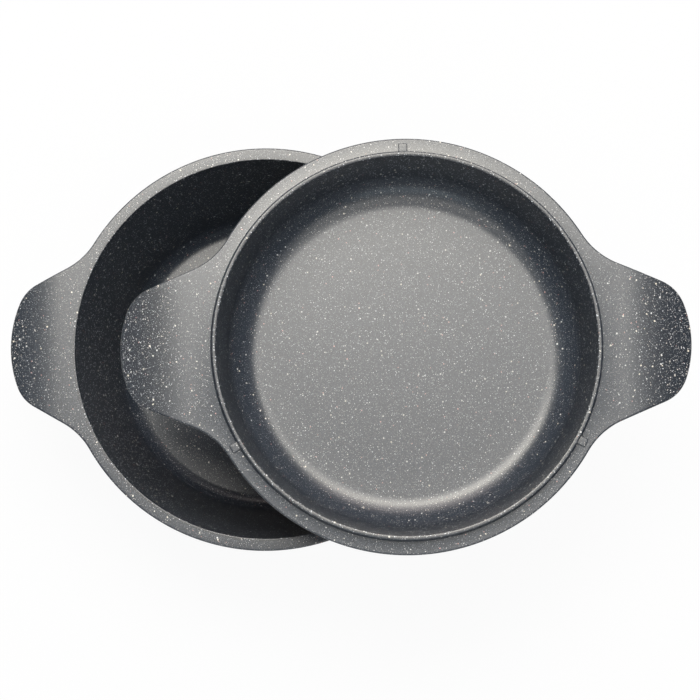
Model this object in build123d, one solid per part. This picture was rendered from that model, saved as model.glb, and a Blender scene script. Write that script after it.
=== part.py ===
from build123d import *
import os
from math import atan, cos, radians, sin, tan

# A cast aluminium pot and the frying pan that is also its lid. Each is one casting: a bowl whose rim runs
# out into two paddle handles. The pan stands upright on the pot's rim, set to one side, as it is put down
# while cooking. Turned over, its lip drops into the pot's opening, and three small pads on its flange hold
# it a little off the rim, so that steam gets out.
#
# Millimetres. +Z is up, the handles lie along X, and the origin is the centre of the pot's underside.

# Shared by both castings
RIM_RADIUS = 140.0          # outer edge of the pot's rim and of the pan's flange
MACHINED_OFF = 0.6          # skimmed from the cast underside, which leaves a crisp edge round the base
CORNER_FLATS = 4            # conical bands that make up a bowl's rounded corner

# Pot
POT_DEPTH = 105.0           # rim to cooking floor
POT_FLOOR = 6.0             # thickness of the floor
POT_WALL = 4.5
POT_RIM_LAND = 8.4          # width of the flat rim
POT_WALL_LEAN = 25.6        # how far in the wall is at the floor, from where it is at the mouth
POT_INNER_CORNER = 12.0
POT_OUTER_CORNER = 15.0
POT_RIM_THICKNESS = 6.0
POT_RIM_BEVEL = 1.6         # along the edge of the rim and the handles, above and below
POT_MOUTH_BEVEL = 0.6       # round the opening
POT_UNDER_RIM_BEVEL = 2.5   # where the wall meets the rim

# Pan, which is also the lid
PAN_DEPTH = 48.0            # flange to cooking floor
PAN_FLOOR = 5.0
PAN_WALL = 4.0
PAN_WALL_LEAN = 9.7
PAN_INNER_CORNER = 22.0     # a true fillet, because it is what the cooking floor is known by
PAN_OUTER_CORNER = 18.0
PAN_FLANGE_THICKNESS = 5.0
PAN_FLANGE_BEVEL = 1.4
PAN_UNDER_FLANGE_BEVEL = 4.0

# The lip that drops into the pot's opening, and the pads that keep the flange off the rim
LIP_HEIGHT = 5.0
LIP_CLEARANCE = 0.7         # between the lip's foot and the edge of the pot's opening
LIP_THICKNESS = 2.7         # at its top
LIP_INNER_BEVEL = 0.9
LIP_OUTER_BEVEL = 0.6
PAD_COUNT = 3
PAD_WIDTH = 6.0
PAD_REACH = 5.6             # from the lip's foot towards the flange's edge
PAD_HEIGHT = 1.0
PAD_ROOT = 1.5              # how deep a pad's section starts inside the flange and the lip
FIRST_PAD_ANGLE = 90.0

# Paddle handles. The two castings share the outline's shape, not its sizes. The straight sides run
# together towards the tip, and the half width is where they would reach it.
POT_HANDLE_LENGTH = 36.9    # from the rim's edge to the tip
POT_HANDLE_TIP_HALF_WIDTH = 32.7
POT_HANDLE_SIDE_ANGLE = 29.0
POT_HANDLE_NECK = 48.8      # hollow radius that leads from the rim into a side
POT_HANDLE_CORNER = 26.5
POT_HANDLE_CROWN = 77.5     # radius of the rounded tip
POT_DROOP_START = 1.6       # how far outside the rim's edge the handle starts to curve down
POT_DROOP_RADIUS = 105.0
PAN_HANDLE_LENGTH = 51.9
PAN_HANDLE_TIP_HALF_WIDTH = 32.5
PAN_HANDLE_SIDE_ANGLE = 22.7
PAN_HANDLE_NECK = 50.0
PAN_HANDLE_CORNER = 27.0
PAN_HANDLE_CROWN = 72.0
PAN_DROOP_START = 5.0
PAN_DROOP_RADIUS = 150.0

# Where the pan stands on the pot
PAN_OFFSET_X = 95.6
PAN_OFFSET_Y = -3.0
PAN_TURN = 1.55             # degrees, seen from above

# How far a cutting tool runs past what it cuts
OVERSHOOT = 10.0


class Bowl:
    """The wall and floor of one casting, standing on z = 0 and turned round Z."""

    def __init__(self, floor, wall, corner_radius, mouth_radius, mouth_height):
        self.floor = floor
        self.corner_radius = corner_radius
        self.mouth_radius = mouth_radius
        self.mouth_height = mouth_height
        self.taper = (mouth_radius - corner_radius) / (mouth_height - floor)
        self.across_wall = wall * (1 + self.taper**2) ** 0.5

    def outer_radius(self, height):
        """The outside of the wall, as if its corner were sharp."""
        return self.corner_radius + (height - self.floor) * self.taper + self.across_wall

    def corner_flats(self, radius, foot_radius, foot_height):
        """A rounded corner between floor and wall: the points of flats that touch its arc."""
        turn = radians(90) - atan(self.taper)
        step = turn / CORNER_FLATS
        centre_radius = foot_radius - radius * tan(turn / 2)
        reach = radius / cos(step / 2)
        return [
            (
                centre_radius + reach * sin(step * (n + 0.5)),
                foot_height + radius - reach * cos(step * (n + 0.5)),
            )
            for n in range(CORNER_FLATS)
        ]

    def inside(self, corner):
        """What the bowl holds, up to past its mouth, from the points of its floor's edge."""
        past_mouth = self.mouth_height + OVERSHOOT
        return make_face(
            Polyline(
                (0, self.floor),
                *corner,
                (self.mouth_radius, self.mouth_height),
                (self.mouth_radius, past_mouth),
                (0, past_mouth),
                close=True,
            )
        )

    def outside(self, corner, top_height):
        """The bowl with nothing taken out of it, its underside machined flat."""
        cast_base = -MACHINED_OFF
        flats = self.corner_flats(corner, self.outer_radius(cast_base), cast_base)
        wall_top = (self.outer_radius(top_height), top_height)
        section = make_face(Polyline((0, cast_base), *flats, wall_top, (0, top_height), close=True))
        above_base = Pos(0, top_height / 2) * Rectangle(3 * RIM_RADIUS, top_height)
        return revolve(Plane.XZ * (section & above_base), Axis.Z)


class Handles:
    """A casting's pair of handles, measured from the bowl's axis."""

    def __init__(self, length, tip_half_width, side_angle, neck, corner, crown, droop_start, droop_radius):
        self.tip = RIM_RADIUS + length
        self.tip_half_width = tip_half_width
        self.side_slope = tan(radians(side_angle))
        self.neck = neck
        self.corner = corner
        self.crown = crown
        self.droop_start = RIM_RADIUS + droop_start
        self.droop_radius = droop_radius

    def outline(self):
        """The rim's circle with a paddle on each side, led in by hollow necks and rounded at the corners."""
        shoulder = self.tip - self.crown + (self.crown**2 - self.tip_half_width**2) ** 0.5
        shoulder_half_width = self.tip_half_width + (self.tip - shoulder) * self.side_slope
        root_half_width = self.tip_half_width + self.tip * self.side_slope
        sides = Polyline(
            (shoulder, shoulder_half_width),
            (0, root_half_width),
            (0, -root_half_width),
            (shoulder, -shoulder_half_width),
        )
        crown = ThreePointArc(sides @ 1, (self.tip, 0), sides @ 0)
        paddle = make_face(sides + crown)
        paddle = fillet(paddle.vertices().sort_by(Axis.X)[-2:], self.corner)
        outline = Circle(RIM_RADIUS) + paddle + mirror(paddle, Plane.YZ)
        on_rim = [v for v in outline.vertices() if abs(Vector(v.X, v.Y).length - RIM_RADIUS) < 0.01]
        return fillet(on_rim, self.neck)

    def slab(self, thickness):
        """A slab, level over the bowl and up to z = 0, that curves down on both sides."""
        bend_angle = radians(40)
        ends = []
        for level, bend in ((0, self.droop_radius), (-thickness, self.droop_radius - thickness)):
            start = (self.droop_start, level)
            end = (self.droop_start + bend * sin(bend_angle), level - bend * (1 - cos(bend_angle)))
            ends.append(RadiusArc(start, end, bend))
        top, bottom = ends
        side = make_face(
            [
                Line((0, 0), top @ 0),
                top,
                Line(top @ 1, bottom @ 1),
                bottom,
                Line(bottom @ 0, (0, -thickness)),
                Line((0, -thickness), (0, 0)),
            ]
        )
        return extrude(Plane.XZ * (side + mirror(side, Plane.YZ)), RIM_RADIUS, both=True)

    def plate(self, thickness, bevel):
        """The rim and both handles as one plate, bevelled all along its outline, above and below."""
        plate = (extrude(self.outline(), self.tip, both=True) & self.slab(thickness)).solid()
        upright = plate.edges().filter_by(Axis.Z)
        across = plate.edges().filter_by(Axis.Y)
        return chamfer([e for e in plate.edges() if e not in upright and e not in across], bevel)


# Worked out from the sizes above: the lip takes its radii and its taper from the pot's opening
POT_HEIGHT = POT_FLOOR + POT_DEPTH
OPENING_RADIUS = RIM_RADIUS - POT_RIM_LAND
POT_CORNER_RADIUS = OPENING_RADIUS - POT_WALL_LEAN
POT_BOWL = Bowl(POT_FLOOR, POT_WALL, POT_CORNER_RADIUS, OPENING_RADIUS, POT_HEIGHT)
FLANGE_HEIGHT = PAN_FLOOR + PAN_DEPTH
PAN_HEIGHT = FLANGE_HEIGHT + LIP_HEIGHT
LIP_FOOT_RADIUS = OPENING_RADIUS - LIP_CLEARANCE
LIP_TOP_RADIUS = LIP_FOOT_RADIUS - LIP_HEIGHT * POT_BOWL.taper
LIP_MOUTH_RADIUS = LIP_TOP_RADIUS - LIP_THICKNESS
PAN_CORNER_RADIUS = LIP_MOUTH_RADIUS - PAN_WALL_LEAN
PAN_BOWL = Bowl(PAN_FLOOR, PAN_WALL, PAN_CORNER_RADIUS, LIP_MOUTH_RADIUS, PAN_HEIGHT)
POT_HANDLES = Handles(
    POT_HANDLE_LENGTH, POT_HANDLE_TIP_HALF_WIDTH, POT_HANDLE_SIDE_ANGLE, POT_HANDLE_NECK,
    POT_HANDLE_CORNER, POT_HANDLE_CROWN, POT_DROOP_START, POT_DROOP_RADIUS,
)
PAN_HANDLES = Handles(
    PAN_HANDLE_LENGTH, PAN_HANDLE_TIP_HALF_WIDTH, PAN_HANDLE_SIDE_ANGLE, PAN_HANDLE_NECK,
    PAN_HANDLE_CORNER, PAN_HANDLE_CROWN, PAN_DROOP_START, PAN_DROOP_RADIUS,
)


def bevel_circle(solid, radius, height, size):
    """Bevels the circular edge that has that radius, at that height."""
    edges = [
        edge
        for edge in solid.edges().filter_by(GeomType.CIRCLE)
        if abs(edge.radius - radius) < 0.01 and abs(edge.arc_center.Z - height) < 0.01
    ]
    return chamfer(edges, size)


def make_pot():
    """The pot: bowl, rim and handles in one casting."""
    bowl = POT_BOWL
    floor_edge = bowl.corner_flats(POT_INNER_CORNER, POT_CORNER_RADIUS, POT_FLOOR)
    inside = revolve(Plane.XZ * bowl.inside(floor_edge), Axis.Z)
    outside = bowl.outside(POT_OUTER_CORNER, POT_HEIGHT - POT_RIM_THICKNESS / 2)
    rim = Pos(0, 0, POT_HEIGHT) * POT_HANDLES.plate(POT_RIM_THICKNESS, POT_RIM_BEVEL)
    pot = (outside + rim - inside).solid()
    under_rim = POT_HEIGHT - POT_RIM_THICKNESS
    pot = bevel_circle(pot, bowl.outer_radius(under_rim), under_rim, POT_UNDER_RIM_BEVEL)
    return bevel_circle(pot, OPENING_RADIUS, POT_HEIGHT, POT_MOUTH_BEVEL)


def steam_pads():
    """Low rounded pads, evenly spaced round the lip, on a flange whose top is at z = 0."""
    foot = Polyline(
        (PAD_WIDTH / 2, 0), (PAD_WIDTH / 2, -PAD_ROOT), (-PAD_WIDTH / 2, -PAD_ROOT), (-PAD_WIDTH / 2, 0)
    )
    section = make_face(foot + ThreePointArc(foot @ 1, (0, PAD_HEIGHT), foot @ 0))
    pad = extrude(Plane.YZ.offset(LIP_FOOT_RADIUS - PAD_ROOT) * section, PAD_ROOT + PAD_REACH)
    return [Rot(0, 0, FIRST_PAD_ANGLE + n * 360 / PAD_COUNT) * pad for n in range(PAD_COUNT)]


def make_pan():
    """The pan: bowl, lip, flange with its pads, and handles in one casting, standing on z = 0."""
    bowl = PAN_BOWL
    section = bowl.inside([(PAN_CORNER_RADIUS, PAN_FLOOR)])
    floor_edge = section.vertices().sort_by_distance((PAN_CORNER_RADIUS, PAN_FLOOR))[0]
    inside = revolve(Plane.XZ * fillet(floor_edge, PAN_INNER_CORNER), Axis.Z)
    outside = bowl.outside(PAN_OUTER_CORNER, FLANGE_HEIGHT - PAN_FLANGE_THICKNESS / 2)
    flange = Pos(0, 0, FLANGE_HEIGHT) * PAN_HANDLES.plate(PAN_FLANGE_THICKNESS, PAN_FLANGE_BEVEL)
    lip = Cone(LIP_FOOT_RADIUS, LIP_TOP_RADIUS, LIP_HEIGHT, align=(Align.CENTER, Align.CENTER, Align.MIN))
    pan = (outside + flange + Pos(0, 0, FLANGE_HEIGHT) * lip - inside).solid()
    under_flange = FLANGE_HEIGHT - PAN_FLANGE_THICKNESS
    pan = bevel_circle(pan, bowl.outer_radius(under_flange), under_flange, PAN_UNDER_FLANGE_BEVEL)
    pan = bevel_circle(pan, bowl.mouth_radius, PAN_HEIGHT, LIP_INNER_BEVEL)
    pan = bevel_circle(pan, LIP_TOP_RADIUS, PAN_HEIGHT, LIP_OUTER_BEVEL)
    for pad in steam_pads():
        pan = pan + Pos(0, 0, FLANGE_HEIGHT) * pad
    return pan.solid()


pan_place = Pos(PAN_OFFSET_X, PAN_OFFSET_Y, POT_HEIGHT) * Rot(0, 0, PAN_TURN)

os.makedirs("parts", exist_ok=True)
export_step(make_pot(), "parts/pot.step")
export_step(pan_place * make_pan(), "parts/pan_lid.step")
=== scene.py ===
from math import atan, atan2, cos, degrees, hypot, pi, radians, sin, sqrt, tan

import bmesh
import bpy
from mathutils import Matrix, Vector


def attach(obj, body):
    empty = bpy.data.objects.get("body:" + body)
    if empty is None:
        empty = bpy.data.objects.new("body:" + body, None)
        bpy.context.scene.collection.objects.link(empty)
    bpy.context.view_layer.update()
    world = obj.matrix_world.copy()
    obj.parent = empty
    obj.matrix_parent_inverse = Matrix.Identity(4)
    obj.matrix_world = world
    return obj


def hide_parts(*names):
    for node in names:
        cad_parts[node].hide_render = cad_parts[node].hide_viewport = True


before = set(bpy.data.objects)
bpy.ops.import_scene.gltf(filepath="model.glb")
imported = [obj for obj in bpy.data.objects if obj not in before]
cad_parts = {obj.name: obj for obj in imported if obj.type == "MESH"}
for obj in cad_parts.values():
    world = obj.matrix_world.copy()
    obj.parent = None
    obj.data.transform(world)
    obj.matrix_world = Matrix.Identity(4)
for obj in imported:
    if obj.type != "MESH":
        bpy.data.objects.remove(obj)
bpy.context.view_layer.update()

# Sizes are in millimetres and angles in degrees, and MM takes a size to Blender's metres
MM = 0.001

# Shared by both castings
RIM_RADIUS = 140.0
TOP_EDGE = 1.1  # rounding along the upper edge of rim and handles
MACHINED_OFF = 0.6  # turned off the cast underside, which leaves a crisp edge round the base
POLE = 3.0  # radius of the last ring before a floor is closed on its axis
SMOOTH_ANGLE = 38.0  # edges that turn less than this are shaded smooth

# Pot
POT_HEIGHT = 111.0
POT_OPENING = 131.6  # radius of the wall's inside at the rim
POT_CORNER = 106.0  # the same at the floor, as if the corner were sharp
POT_FLOOR = 6.0
POT_WALL = 4.5
POT_RIM = 6.0  # thickness of rim and handles
POT_MOUTH_EDGE = 0.5
POT_DROOP_START, POT_DROOP_RADIUS = 141.6, 105.0

# Pan: the flange is what lies on the pot's rim when the pan is its lid
PAN_FLANGE = 53.0  # height of the flange's face over the pan's base
PAN_FLANGE_THICKNESS = 5.0
PAN_FLOOR = 5.0
PAN_WALL = 4.0
PAN_WALL_LEAN = 9.7
PAN_DROOP_START, PAN_DROOP_RADIUS = 145.0, 150.0

# The lip that drops into the pot's opening, by its radii, and its crowned top
LIP_HEIGHT = 5.0
LIP_FOOT, LIP_TOP, LIP_MOUTH = 130.9, 130.1, 127.3
LIP_EDGE = 0.7
LIP_CROWN_WIDTH, LIP_CROWN_DROP = 1.6, 0.5

# The steam pads on the flange, each sunk a little into the lip and the flange
PAD_COUNT = 3
FIRST_PAD_ANGLE = 90.0
PAD_LENGTH, PAD_WIDTH, PAD_THICKNESS = 6.2, 6.0, 1.8
PAD_IN_LIP, PAD_IN_FLANGE = 0.7, 0.8
PAD_ROUNDING = 0.85

# Where the pan stands on the pot
PAN_PLACE = (95.6, -3.0, POT_HEIGHT)
PAN_TURN = 1.55


# Modelling: a casting is one skin, pulled ring by ring out of the outline of its rim and handles


def deselect_all():
    bpy.ops.object.select_all(action="DESELECT")


def arc(centre, radius, start, end, steps):
    """Points round a centre, as radius and height, without the first. Angles run from the level."""
    turn = [radians(start + (end - start) * n / steps) for n in range(1, steps + 1)]
    return [(centre[0] + radius * cos(a), centre[1] + radius * sin(a)) for a in turn]


def straight(start, end, steps):
    """Evenly spaced points from one to another, without the first."""
    share = [n / steps for n in range(1, steps + 1)]
    return [(start[0] + (end[0] - start[0]) * s, start[1] + (end[1] - start[1]) * s) for s in share]


class Wall:
    """A bowl's straight wall, from the floor's corner to the mouth, and its skin a thickness outside."""

    def __init__(self, corner_radius, floor, mouth_radius, height, thickness):
        self.corner_radius = corner_radius
        self.floor = floor
        self.height = height
        self.thickness = thickness
        self.slope = (mouth_radius - corner_radius) / (height - floor)
        self.upright = 90 - degrees(atan(self.slope))

    def radius(self, height, across=0.0):
        """The inside's radius at a height, or that of a skin so far across from it."""
        return self.corner_radius + (height - self.floor) * self.slope + across * sqrt(1 + self.slope**2)

    def foot(self, fillet, level, across):
        """The radius at which the fillet meets a floor at that level."""
        return self.radius(level, across) - fillet * tan(radians(self.upright / 2))

    def to_floor(self, top, fillet, level, across=0.0):
        """Points down the wall and round its fillet to a floor at that level."""
        foot = self.foot(fillet, level, across)
        upright = radians(self.upright)
        tangent = (foot + fillet * sin(upright), level + fillet * (1 - cos(upright)))
        start = (self.radius(top, across), top)
        fillet_points = arc((foot, level + fillet), fillet, self.upright - 90, -90, 15)
        return [start, *straight(start, tangent, 9), *fillet_points]

    def base_edge(self, fillet):
        """The radius at which the machined base cuts off the outer fillet."""
        cut = sqrt(fillet**2 - (fillet - MACHINED_OFF) ** 2)
        return self.foot(fillet, -MACHINED_OFF, self.thickness) + cut

    def to_base(self, top, fillet):
        """Points down the outside of the wall to the edge of the machined base."""
        path = self.to_floor(top, fillet, -MACHINED_OFF, self.thickness)
        least_step = 0.15
        return [*(p for p in path if p[1] > least_step), (self.base_edge(fillet), 0.0)]


class Casting:
    """A bowl whose rim runs out into two paddle handles, modelled round the world origin."""

    def __init__(self, name):
        deselect_all()
        bpy.ops.mesh.primitive_circle_add(vertices=4, radius=RIM_RADIUS * MM, fill_type="NOTHING")
        self.obj = bpy.context.active_object
        self.obj.name = self.obj.data.name = name
        bpy.ops.object.mode_set(mode="EDIT")
        bpy.ops.mesh.select_mode(type="VERT")

    def pick(self, test):
        """Selects the vertices that pass the test, with the edges and faces between them."""
        bpy.ops.mesh.select_all(action="DESELECT")
        bm = bmesh.from_edit_mesh(self.obj.data)
        for vert in bm.verts:
            vert.select = test(vert)
        bm.select_flush(True)
        bmesh.update_edit_mesh(self.obj.data)

    def picked(self):
        """One picked vertex, which stands for its ring."""
        return next(v for v in bmesh.from_edit_mesh(self.obj.data).verts if v.select)

    def sweep(self, centre, angle, steps):
        """Draws an arc on from the picked point, clockwise from above."""
        bpy.ops.mesh.spin(
            steps=steps, angle=radians(angle), center=(centre[0] * MM, centre[1] * MM, 0), axis=(0, 0, 1)
        )

    def draw_outline(self, length, half_width, side_angle, neck, corner, crown):
        """The plan of rim and handles, drawn through its tangent arcs in one quarter and mirrored.

        A handle has a length beyond the rim, a half width where its straight sides would reach the tip,
        and the radii of its hollow neck, its corner and its crowned tip."""
        tip = RIM_RADIUS + length
        lean = radians(side_angle)
        along, out = (cos(lean), -sin(lean)), (sin(lean), cos(lean))
        reach = tip * out[0] + half_width * out[1]
        at_neck = sqrt((RIM_RADIUS + neck) ** 2 - (reach + neck) ** 2)
        neck_centre = [(reach + neck) * o + at_neck * a for o, a in zip(out, along)]
        crown_centre = (tip - crown, 0)
        foot = [(reach - corner) * o for o in out]
        gap = (foot[0] - crown_centre[0], foot[1])
        half_b = along[0] * gap[0] + along[1] * gap[1]
        at_corner = -half_b + sqrt(half_b**2 - gap[0] ** 2 - gap[1] ** 2 + (crown - corner) ** 2)
        corner_centre = [f + at_corner * a for f, a in zip(foot, along)]
        rim_angle = 90 - degrees(atan2(neck_centre[1], neck_centre[0]))
        corner_angle = degrees(atan2(corner_centre[1], corner_centre[0] - crown_centre[0]))

        # Of the circle's four points only the one at the back stays, and the arcs are drawn on from it
        self.pick(lambda v: v.co.y < RIM_RADIUS / 2 * MM)
        bpy.ops.mesh.delete(type="VERT")
        self.pick(lambda v: True)
        self.sweep((0, 0), rim_angle, 40)
        self.sweep(neck_centre, side_angle - rim_angle, 16)
        side_steps = 8
        step = (at_corner - at_neck) / side_steps
        for _ in range(side_steps):
            bpy.ops.mesh.extrude_region_move(
                TRANSFORM_OT_translate={"value": (step * along[0] * MM, step * along[1] * MM, 0)}
            )
        self.sweep(corner_centre, 90 - side_angle - corner_angle, 16)
        self.sweep(crown_centre, corner_angle, 12)

        bpy.ops.object.mode_set(mode="OBJECT")
        mirror = self.obj.modifiers.new("mirror", "MIRROR")
        mirror.use_axis = (True, True, False)
        mirror.merge_threshold = 0.01 * MM
        bpy.ops.object.modifier_apply(modifier="mirror")
        bpy.ops.object.mode_set(mode="EDIT")
        bpy.ops.mesh.select_all(action="SELECT")
        bpy.ops.mesh.edge_face_add()
        bpy.ops.mesh.normals_make_consistent(inside=False)

    def lift(self, height):
        """Moves the picked ring to a height."""
        rise = height * MM - self.picked().co.z
        bpy.ops.transform.translate(value=(0, 0, rise))

    def widen(self, radius):
        """Scales the picked circle to a radius."""
        ring = self.picked().co
        share = radius * MM / hypot(ring.x, ring.y)
        bpy.ops.transform.resize(value=(share, share, 1), center_override=(0, 0, ring.z))

    def edge(self, radius, level, side):
        """Rounds the outline's edge, up for a side of 1 and down for -1, to a flat face at that level."""
        bpy.ops.mesh.extrude_region_move()
        self.lift(level - side * radius)
        steps = 7
        before = 0.0
        for n in range(1, steps + 1):
            turn = radians(90 * n / steps)
            now = radius * (1 - cos(turn))
            bpy.ops.mesh.inset(thickness=(now - before) * MM, depth=0, use_even_offset=True)
            self.lift(level - side * radius * (1 - sin(turn)))
            before = now
        narrow_band = 0.4 * MM
        bpy.ops.mesh.inset(thickness=narrow_band, depth=0, use_even_offset=True)

    def round_ring(self, radius):
        """Pulls the picked outline in, level, to a true circle."""
        bpy.ops.mesh.extrude_region_move()
        bpy.ops.transform.tosphere(value=1)
        self.widen(radius)

    def rings(self, points):
        """Pulls the picked circle through points given as radius and height."""
        for radius, height in points:
            bpy.ops.mesh.extrude_region_move()
            self.widen(radius)
            self.lift(height)

    def close(self, level, steps):
        """Pulls the picked circle in over a flat floor and ends the skin in a point on the axis."""
        ring = self.picked().co
        self.rings(straight((hypot(ring.x, ring.y) / MM, level), (POLE, level), steps))
        bpy.ops.mesh.merge(type="CENTER")

    def inside(self, wall, below_mouth, fillet):
        """Pulls the skin down the wall, round its fillet and over the cooking floor."""
        self.rings(wall.to_floor(wall.height - below_mouth, fillet, wall.floor))
        self.close(wall.floor, 5)

    def outside(self, wall, under, edge, hollow, fillet):
        """Pulls the underside out of the outline: its edge, the hollow under it, the wall and the base.

        The hollow leads from the plate into the wall, in points measured out and down from where the two
        would meet. The last of them is where the straight wall starts."""
        bpy.ops.mesh.select_all(action="DESELECT")
        bpy.ops.mesh.select_face_by_sides(number=4, type="GREATER", extend=False)
        self.edge(edge, under, -1)
        meeting = wall.radius(under, wall.thickness)
        (start, _), *bend, (_, wall_start) = hollow
        self.round_ring(meeting + start)
        self.rings([(meeting + out, under - down) for out, down in bend])
        self.rings(wall.to_base(under - wall_start, fillet))
        base = wall.base_edge(fillet)
        narrow_band = 0.4
        self.rings([(base - narrow_band, 0)])
        self.close(0, 4)
        self.pick(lambda v: abs(v.co.z) < 0.01 * MM and abs(hypot(v.co.x, v.co.y) - base * MM) < 0.05 * MM)
        bpy.ops.mesh.mark_sharp()

    def droop(self, start, radius):
        """Bends both handles down beyond the start, in cuts a few millimetres apart."""
        tip = max(v.co.x for v in bmesh.from_edit_mesh(self.obj.data).verts) / MM
        cuts = 14
        for side in (-1, 1):
            for n in range(cuts):
                bpy.ops.mesh.select_all(action="SELECT")
                at = start + (tip - start) * n / cuts
                bpy.ops.mesh.bisect(plane_co=(side * at * MM, 0, 0), plane_no=(1, 0, 0))
        bm = bmesh.from_edit_mesh(self.obj.data)
        for vert in bm.verts:
            past = abs(vert.co.x) / MM - start
            if past > 0:
                vert.co.z -= (radius - sqrt(radius**2 - past**2)) * MM
        bmesh.update_edit_mesh(self.obj.data)

    def finish(self):
        bpy.ops.mesh.select_all(action="SELECT")
        bpy.ops.mesh.remove_doubles(threshold=0.001 * MM)
        bpy.ops.mesh.normals_make_consistent(inside=False)
        bpy.ops.object.mode_set(mode="OBJECT")
        bpy.ops.object.shade_smooth_by_angle(angle=radians(SMOOTH_ANGLE))
        return self.obj


def make_pot():
    """The deep pot: bowl, rim and handles in one."""
    wall = Wall(POT_CORNER, POT_FLOOR, POT_OPENING, POT_HEIGHT, POT_WALL)
    pot = Casting("pot_casting")
    pot.draw_outline(length=36.9, half_width=32.7, side_angle=29.0, neck=48.8, corner=26.5, crown=77.5)
    pot.lift(POT_HEIGHT - POT_RIM / 2)
    pot.edge(TOP_EDGE, POT_HEIGHT, 1)
    narrow_band = 0.3
    pot.round_ring(POT_OPENING + POT_MOUTH_EDGE + narrow_band)
    rounding = (POT_OPENING + POT_MOUTH_EDGE, POT_HEIGHT - POT_MOUTH_EDGE)
    pot.rings(arc(rounding, POT_MOUTH_EDGE, 90, 90 + wall.upright, 5))
    pot.inside(wall, below_mouth=3, fillet=12.0)
    under_rim = ((2.7, 0), (1.5, 0.25), (0.7, 0.8), (0.1, 1.6), (0, 2.8))
    pot.outside(wall, POT_HEIGHT - POT_RIM, edge=2.2, hollow=under_rim, fillet=15.0)
    pot.droop(POT_DROOP_START, POT_DROOP_RADIUS)
    return pot.finish()


def pull_lip(pan, height):
    """The lip round the pan's mouth: its outer face, that face's rounded edge and the crowned top."""
    foot = ((0.2, 0.05), (0, 0.2), (-0.1, 0.5))
    pan.round_ring(LIP_FOOT + 0.5)
    pan.rings([(LIP_FOOT + out, PAN_FLANGE + up) for out, up in foot])
    out, up = foot[-1]
    pan.rings(straight((LIP_FOOT + out, PAN_FLANGE + up), (LIP_TOP, height - LIP_EDGE), 3))
    pan.rings(arc((LIP_TOP - LIP_EDGE, height - LIP_EDGE), LIP_EDGE, 0, 90, 6))
    for n in range(10):
        turn = radians(90 * n / 9)
        radius = LIP_MOUTH + LIP_CROWN_WIDTH * (1 - sin(turn))
        pan.rings([(radius, height - LIP_CROWN_DROP * (1 - cos(turn)))])


def make_pad():
    """One small steam pad, a rounded bar that runs out from the lip along X."""
    middle = LIP_FOOT - PAD_IN_LIP + PAD_LENGTH / 2
    level = PAN_FLANGE - PAD_IN_FLANGE + PAD_THICKNESS / 2
    deselect_all()
    bpy.ops.mesh.primitive_cube_add(size=MM, location=(middle * MM, 0, level * MM))
    pad = bpy.context.active_object
    bpy.ops.object.mode_set(mode="EDIT")
    bpy.ops.mesh.select_all(action="SELECT")
    bpy.ops.transform.resize(value=(PAD_LENGTH, PAD_WIDTH, PAD_THICKNESS))
    bpy.ops.mesh.subdivide(number_cuts=2)
    bpy.ops.object.mode_set(mode="OBJECT")
    bpy.ops.object.transform_apply(location=True, rotation=True, scale=True)
    rounding = pad.modifiers.new("rounding", "BEVEL")
    rounding.width = PAD_ROUNDING * MM
    rounding.segments = 5
    rounding.limit_method = "ANGLE"
    bpy.ops.object.modifier_apply(modifier="rounding")
    bpy.ops.object.shade_smooth_by_angle(angle=radians(SMOOTH_ANGLE))
    return pad


def make_pads():
    """The steam pads, evenly spaced round the lip."""
    first = make_pad()
    pads = [first]
    for _ in range(PAD_COUNT - 1):
        deselect_all()
        first.select_set(True)
        bpy.context.view_layer.objects.active = first
        bpy.ops.object.duplicate()
        pads.append(bpy.context.active_object)
    for n, pad in enumerate(pads):
        pad.rotation_euler.z = radians(FIRST_PAD_ANGLE + n * 360 / PAD_COUNT)
    return pads


def make_pan():
    """The frying pan that is the pot's lid too: bowl, lip, flange and handles in one, with its pads."""
    height = PAN_FLANGE + LIP_HEIGHT
    wall = Wall(LIP_MOUTH - PAN_WALL_LEAN, PAN_FLOOR, LIP_MOUTH, height, PAN_WALL)
    pan = Casting("pan_casting")
    pan.draw_outline(length=51.9, half_width=32.5, side_angle=22.7, neck=50.0, corner=27.0, crown=72.0)
    pan.lift(PAN_FLANGE - PAN_FLANGE_THICKNESS / 2)
    pan.edge(TOP_EDGE, PAN_FLANGE, 1)
    pull_lip(pan, height)
    pan.inside(wall, below_mouth=2.4, fillet=22.0)
    under_flange = ((4.2, 0), (2.4, 0.35), (1.1, 1.2), (0.2, 2.5), (0, 4.2))
    pan.outside(wall, PAN_FLANGE - PAN_FLANGE_THICKNESS, edge=1.7, hollow=under_flange, fillet=18.0)
    pan.droop(PAN_DROOP_START, PAN_DROOP_RADIUS)
    skin = pan.finish()

    pads = make_pads()
    deselect_all()
    for piece in (*pads, skin):
        piece.select_set(True)
    bpy.context.view_layer.objects.active = skin
    bpy.ops.object.join()
    skin.rotation_euler.z = radians(PAN_TURN)
    skin.location = [c * MM for c in PAN_PLACE]
    bpy.ops.object.transform_apply(location=True, rotation=True, scale=True)
    return skin


pot = make_pot()
pan = make_pan()
for piece, node in ((pot, "pot"), (pan, "pan_lid")):
    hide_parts(node)
    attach(piece, node)


# Camera: nearly overhead and a little in front, as the photograph was taken

FRAME_PIXELS = 700
CAMERA_PLACE = (40.5, -166.4, 1627.7)
CAMERA_ROLL = 0.009  # radians
FOCAL_PIXELS = 2207
POINT_BELOW_PIXELS = (321.9, 590.2)  # where the point straight below the camera lies in the frame
FILM_WIDTH = 36


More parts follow.
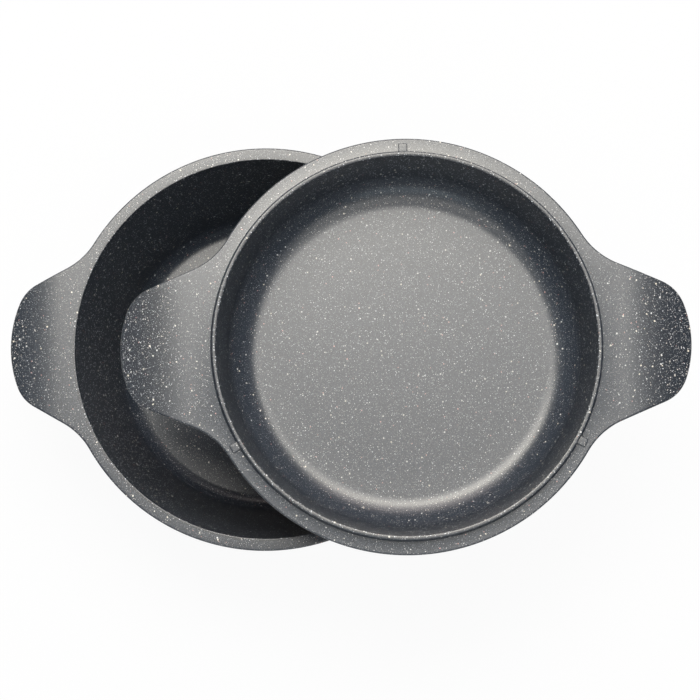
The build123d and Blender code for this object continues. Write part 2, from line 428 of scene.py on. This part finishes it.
def aim_camera():
    """Adds the camera. The point straight below it, as seen in the frame, tells how it is tilted."""
    to_right, to_bottom = (c - FRAME_PIXELS / 2 for c in POINT_BELOW_PIXELS)
    up = -Vector((to_right, to_bottom, FOCAL_PIXELS)).normalized()
    level = Vector((cos(CAMERA_ROLL), sin(CAMERA_ROLL), 0))
    east = (level - up * level.dot(up)).normalized()
    north = up.cross(east)
    world = Matrix((east, north, up))
    right, below, ahead = (world.col[n] for n in range(3))
    data = bpy.data.cameras.new("camera")
    data.sensor_width = FILM_WIDTH
    data.lens = FILM_WIDTH * FOCAL_PIXELS / FRAME_PIXELS
    data.clip_end = 50
    camera = bpy.data.objects.new("camera", data)
    bpy.context.scene.collection.objects.link(camera)
    pose = Matrix((right, -below, -ahead)).transposed().to_4x4()
    pose.translation = Vector(CAMERA_PLACE) * MM
    camera.matrix_world = pose
    bpy.context.scene.camera = camera


aim_camera()


# Shader nodes


class Socket:
    """A socket of the material in hand, to write shader maths as expressions."""

    def __init__(self, graph, socket):
        self.graph = graph
        self.socket = socket

    def maths(self, operation, *values, clamp=False):
        return self.graph.node("Math", {"operation": operation, "use_clamp": clamp}, *values)

    def __add__(self, other):
        return self.maths("ADD", self, other)

    __radd__ = __add__

    def __sub__(self, other):
        return self.maths("SUBTRACT", self, other)

    def __rsub__(self, other):
        return self.maths("SUBTRACT", other, self)

    def __mul__(self, other):
        return self.maths("MULTIPLY", self, other)

    __rmul__ = __mul__

    def __truediv__(self, other):
        return self.maths("DIVIDE", self, other)

    def __pow__(self, other):
        return self.maths("POWER", self, other)

    def __lt__(self, other):
        return self.maths("LESS_THAN", self, other)

    def __gt__(self, other):
        return self.maths("GREATER_THAN", self, other)

    def __abs__(self):
        return self.maths("ABSOLUTE", self)

    def sine(self):
        return self.maths("SINE", self)

    def clamped(self):
        return self.maths("ADD", self, 0.0, clamp=True)

    def also(self, name):
        """Another output of the same node."""
        return Socket(self.graph, self.socket.node.outputs[name])


class Graph:
    """The nodes of one material."""

    def __init__(self, tree):
        self.tree = tree
        tree.nodes.clear()

    def node(self, kind, settings=None, *values, out=0, **named):
        """Adds a shader node: its type, its settings, then its sockets' values or links."""
        made = self.tree.nodes.new("ShaderNode" + kind)
        for name, value in (settings or {}).items():
            setattr(made, name, value)
        pairs = [(made.inputs[n], value) for n, value in enumerate(values)]
        pairs += [(made.inputs[name.replace("_", " ")], value) for name, value in named.items()]
        for socket, value in pairs:
            if isinstance(value, Socket):
                self.tree.links.new(value.socket, socket)
            elif value is not None:
                socket.default_value = value
        return Socket(self, made.outputs[out]) if made.outputs else None


def new_material(name):
    material = bpy.data.materials.new(name)
    material.use_nodes = True
    return material, Graph(material.node_tree)


def dress(piece, material):
    piece.data.materials.clear()
    piece.data.materials.append(material)


def beyond(value, start, fade):
    """0 up to the start, rising to 1 over the fade, both in millimetres."""
    return ((value - start * MM) / (fade * MM)).clamped()


def dots(g, place, spacing, radius, soft, seed):
    """Dots scattered in the coating, spacing in millimetres, radius and soft edge as shares of it.

    Gives the dots' shape and three random numbers of each dot."""
    shift = (seed * 0.731, seed * 0.377, seed * 0.153)
    moved = g.node("VectorMath", {"operation": "ADD"}, place, shift)
    settings = {"voronoi_dimensions": "3D", "feature": "F1"}
    cell = g.node("TexVoronoi", settings, moved, Scale=1 / (spacing * MM))
    chance = g.node("SeparateColor", None, cell.also("Color"))
    shape = ((radius - cell) / soft).clamped()
    return shape, chance, chance.also("Green"), chance.also("Blue")


def tint(g, share, colour, over):
    """Lays a colour over another by a share. Sockets 1 to 5 of a Mix node aren't for colours."""
    settings = {"data_type": "RGBA", "blend_type": "MIX"}
    return g.node("Mix", settings, share, None, None, None, None, None, over, colour, out=2)


# Colours of the coating, of its specks from the finest to the largest, and of the bare metal under it

COAT_GREY = (0.052, 0.065, 0.085, 1)
COAT_BLACK = (0.014, 0.019, 0.028, 1)
COAT_REFLECTION = (1.0, 0.965, 0.90, 1)
FINE_SPECK = (0.72, 0.73, 0.72, 1)
WARM_FLECK = (0.90, 0.80, 0.69, 1)
COOL_FLECK = (0.82, 0.86, 0.90, 1)
ROSE_FLECK = (0.86, 0.47, 0.41, 1)
CREAM_CHIP = (0.92, 0.84, 0.68, 1)
WHITE_CHIP = (0.90, 0.91, 0.90, 1)
BRIGHT_METAL = (0.80, 0.80, 0.81, 1)
DULL_METAL = (0.62, 0.62, 0.64, 1)


def sprayed_coating(g, place, radius, height, wall_foot, wall_slope):
    """Dark satin coating with four kinds of speck, painted darker on the handle ends and inside the wall as
    painted shade, its specks there painted larger and denser as painted light.
    """
    across = g.node("SeparateXYZ", None, place)
    # Masks for the drooping handle ends and the inside wall, where painted shade and painted light are laid
    # on the coating
    on_handle = beyond(abs(across), start=150, fade=25)
    inside = beyond(wall_foot * MM + height * wall_slope - radius, start=0, fade=1)
    on_wall = inside * beyond(height, start=14, fade=12)

    # The pattern is pulled about a little, so that no fleck is a true dot
    pull = g.node("TexNoise", {"noise_dimensions": "3D"}, place, Scale=520.0, Detail=1.0)
    pull_length = (0.9 * MM,) * 3
    uneven = g.node("VectorMath", {"operation": "MULTIPLY_ADD"}, pull.also("Color"), pull_length, place)

    # Painted light: the specks grow larger and more of them show on the handle ends and the inside wall,
    # standing in for the light their grains catch there
    size = 0.26 + on_handle * 0.03
    fine, chance, _, _ = dots(g, uneven, spacing=0.8, radius=size, soft=0.05, seed=1)
    fine_share = fine * (0.12 + chance**2 * (0.72 + on_handle * 0.4)).clamped()

    size = 0.19 + on_handle * 0.035 + on_wall * 0.06
    flecks, chance, shade, warmth = dots(g, uneven, spacing=1.7, radius=size, soft=0.05, seed=2)
    fleck_share = flecks * (chance > 0.5 - (on_handle + on_wall) * 0.25)
    fleck_share = fleck_share * (0.4 + on_handle * 0.2 + shade * 0.6)

    size = 0.125 + (on_handle + on_wall) * 0.03
    chips, chance, cream, shrink = dots(g, uneven, spacing=5.0, radius=size, soft=0.03, seed=3)
    chip_share = (chips - shrink * 0.5).clamped() * (chance > 0.4 - on_handle * 0.2)

    roses, chance, pale, _ = dots(g, uneven, spacing=4.4, radius=0.098, soft=0.03, seed=4)
    rose_share = roses * (chance > 0.5) * (0.35 + pale * 0.6)

    mottle = g.node("TexNoise", {"noise_dimensions": "3D"}, place, Scale=1500.0, Detail=2.0, Roughness=0.6)
    # Random mottle between grey and black, plus painted shade: the coating is pushed towards black on the
    # drooping handle ends and up the inside wall, where the light falls away
    mottle_and_painted_shade = (mottle - 0.5) * 2.6 + (0.5 - on_handle * 0.35 - on_wall * 0.5)
    colour = tint(g, mottle_and_painted_shade, COAT_GREY, COAT_BLACK)
    colour = tint(g, fine_share, FINE_SPECK, colour)
    # Painted light: on the inside wall every fleck takes the cool colour, standing in for the bluish light
    # there
    colour = tint(g, fleck_share, tint(g, warmth * (1 - on_wall), WARM_FLECK, COOL_FLECK), colour)
    colour = tint(g, rose_share, ROSE_FLECK, colour)
    colour = tint(g, chip_share, tint(g, cream, CREAM_CHIP, WHITE_CHIP), colour)
    raised = (fine_share * 0.4 + fleck_share * 0.6 + chip_share + mottle * 0.35) * (1 - on_wall * 0.8)
    return g.node(
        "BsdfPrincipled",
        None,
        Base_Color=colour,
        Roughness=0.28 + mottle * 0.06,
        Specular_IOR_Level=1.0,
        Specular_Tint=COAT_REFLECTION,
        Normal=g.node("Bump", None, Strength=0.16, Distance=0.2 * MM, Height=raised),
    )


def turned_metal(g, radius):
    """Bare metal with the fine rings that a lathe leaves, for the machined base."""
    rough_cut = g.node("TexNoise", {"noise_dimensions": "1D"}, W=radius * 900, Scale=1.0, Detail=3.0)
    rings = 0.5 + (radius * 5200 + rough_cut * 3).sine() * 0.5
    return g.node(
        "BsdfPrincipled",
        None,
        Base_Color=tint(g, rough_cut, BRIGHT_METAL, DULL_METAL),
        Metallic=1.0,
        Roughness=0.26 + rough_cut * 0.2,
        Normal=g.node("Bump", None, Strength=0.25, Distance=0.05 * MM, Height=rings + rough_cut),
    )


def casting_material(name, centre, turn, wall_foot, wall_slope):
    """The finish of one casting, seen from its own centre.

    A cone in the middle of the wall, by its radius at the base and its slope, tells inside from outside."""
    material, g = new_material(name)
    here = g.node("TexCoord").also("Object")
    middle, turned = [c * MM for c in centre], (0, 0, radians(turn))
    place = g.node("Mapping", {"vector_type": "TEXTURE"}, here, middle, turned, (1, 1, 1))
    height = g.node("SeparateXYZ", None, place, out=2)
    flat = g.node("VectorMath", {"operation": "MULTIPLY"}, place, (1, 1, 0))
    radius = g.node("VectorMath", {"operation": "LENGTH"}, flat).also("Value")
    coating = sprayed_coating(g, place, radius, height, wall_foot, wall_slope)
    on_base = height < 0.05 * MM
    g.node("OutputMaterial", None, g.node("MixShader", None, on_base, coating, turned_metal(g, radius)))
    return material


dress(pot, casting_material("pot_coating", (0, 0, 0), 0, wall_foot=106.8, wall_slope=0.244))
dress(pan, casting_material("pan_coating", PAN_PLACE, PAN_TURN, wall_foot=119.1, wall_slope=0.183))


# Floor, lamps and world, in metres


def make_floor():
    """White paper half a millimetre under the pot, which the camera sees as almost pure white."""
    deselect_all()
    bpy.ops.mesh.primitive_plane_add(size=12, location=(0, 0, -0.0005))
    floor = bpy.context.active_object
    floor.name = "floor"
    material, g = new_material("floor_paper")
    seen_by_camera = g.node("LightPath")
    paper = g.node("BsdfDiffuse", None, (0.86, 0.86, 0.86, 1))
    white = g.node("Emission", None, (1, 1, 1, 1), 1.0)
    g.node("OutputMaterial", None, g.node("MixShader", None, seen_by_camera * 0.94, paper, white))
    dress(floor, material)


def make_lamp(name, place, size, brightness, colour=(1, 1, 1)):
    """A soft box aimed at the pot and pan: size across and along, brightness and colour of its face."""
    target = (0.05, 0, 0.1)
    data = bpy.data.lights.new(name, "AREA")
    data.color = colour
    data.shape = "RECTANGLE"
    data.size, data.size_y = size
    data.energy = brightness * pi * size[0] * size[1]
    lamp = bpy.data.objects.new(name, data)
    lamp.location = place
    lamp.rotation_euler = (Vector(place) - Vector(target)).to_track_quat("Z", "Y").to_euler()
    lamp.visible_camera = False
    bpy.context.scene.collection.objects.link(lamp)


def make_world():
    """A dark room, so that walls and drooping handle tips have nothing bright to mirror."""
    world = bpy.data.worlds.new("studio")
    world.use_nodes = True
    background = world.node_tree.nodes["Background"]
    background.inputs["Color"].default_value = (0.85, 0.92, 1.0, 1)
    background.inputs["Strength"].default_value = 0.03
    bpy.context.scene.world = world


WHITE, WARM, ROSY, COOL = (1, 1, 1), (1.0, 0.99, 0.95), (1.0, 0.92, 0.94), (0.75, 0.88, 1.0)
make_floor()
make_lamp("overhead_softbox", (0.12, 0.13, 2.2), (1.45, 0.42), 2.9, WHITE)
make_lamp("main_softbox", (0.12, 0.51, 2.2), (1.45, 0.36), 5.0, WHITE)
make_lamp("back_softbox", (-0.08, 1.05, 2.2), (1.8, 0.72), 8.8, WARM)
make_lamp("rear_screen", (0.10, 2.25, 2.2), (2.5, 1.2), 2.4, ROSY)
make_lamp("back_wall", (0.0, 3.0, 1.1), (3.0, 1.6), 0.3, (1.0, 0.85, 0.90))
make_lamp("front_screen", (0.10, -1.10, 2.2), (2.5, 1.2), 1.4, WHITE)
make_lamp("front_low_screen", (0.0, -2.3, 1.2), (2.0, 1.2), 1.0, COOL)
make_lamp("left_screen", (-1.75, 0.3, 2.2), (0.8, 1.5), 0.2, COOL)
make_world()
bpy.context.scene.view_settings.view_transform = "Standard"
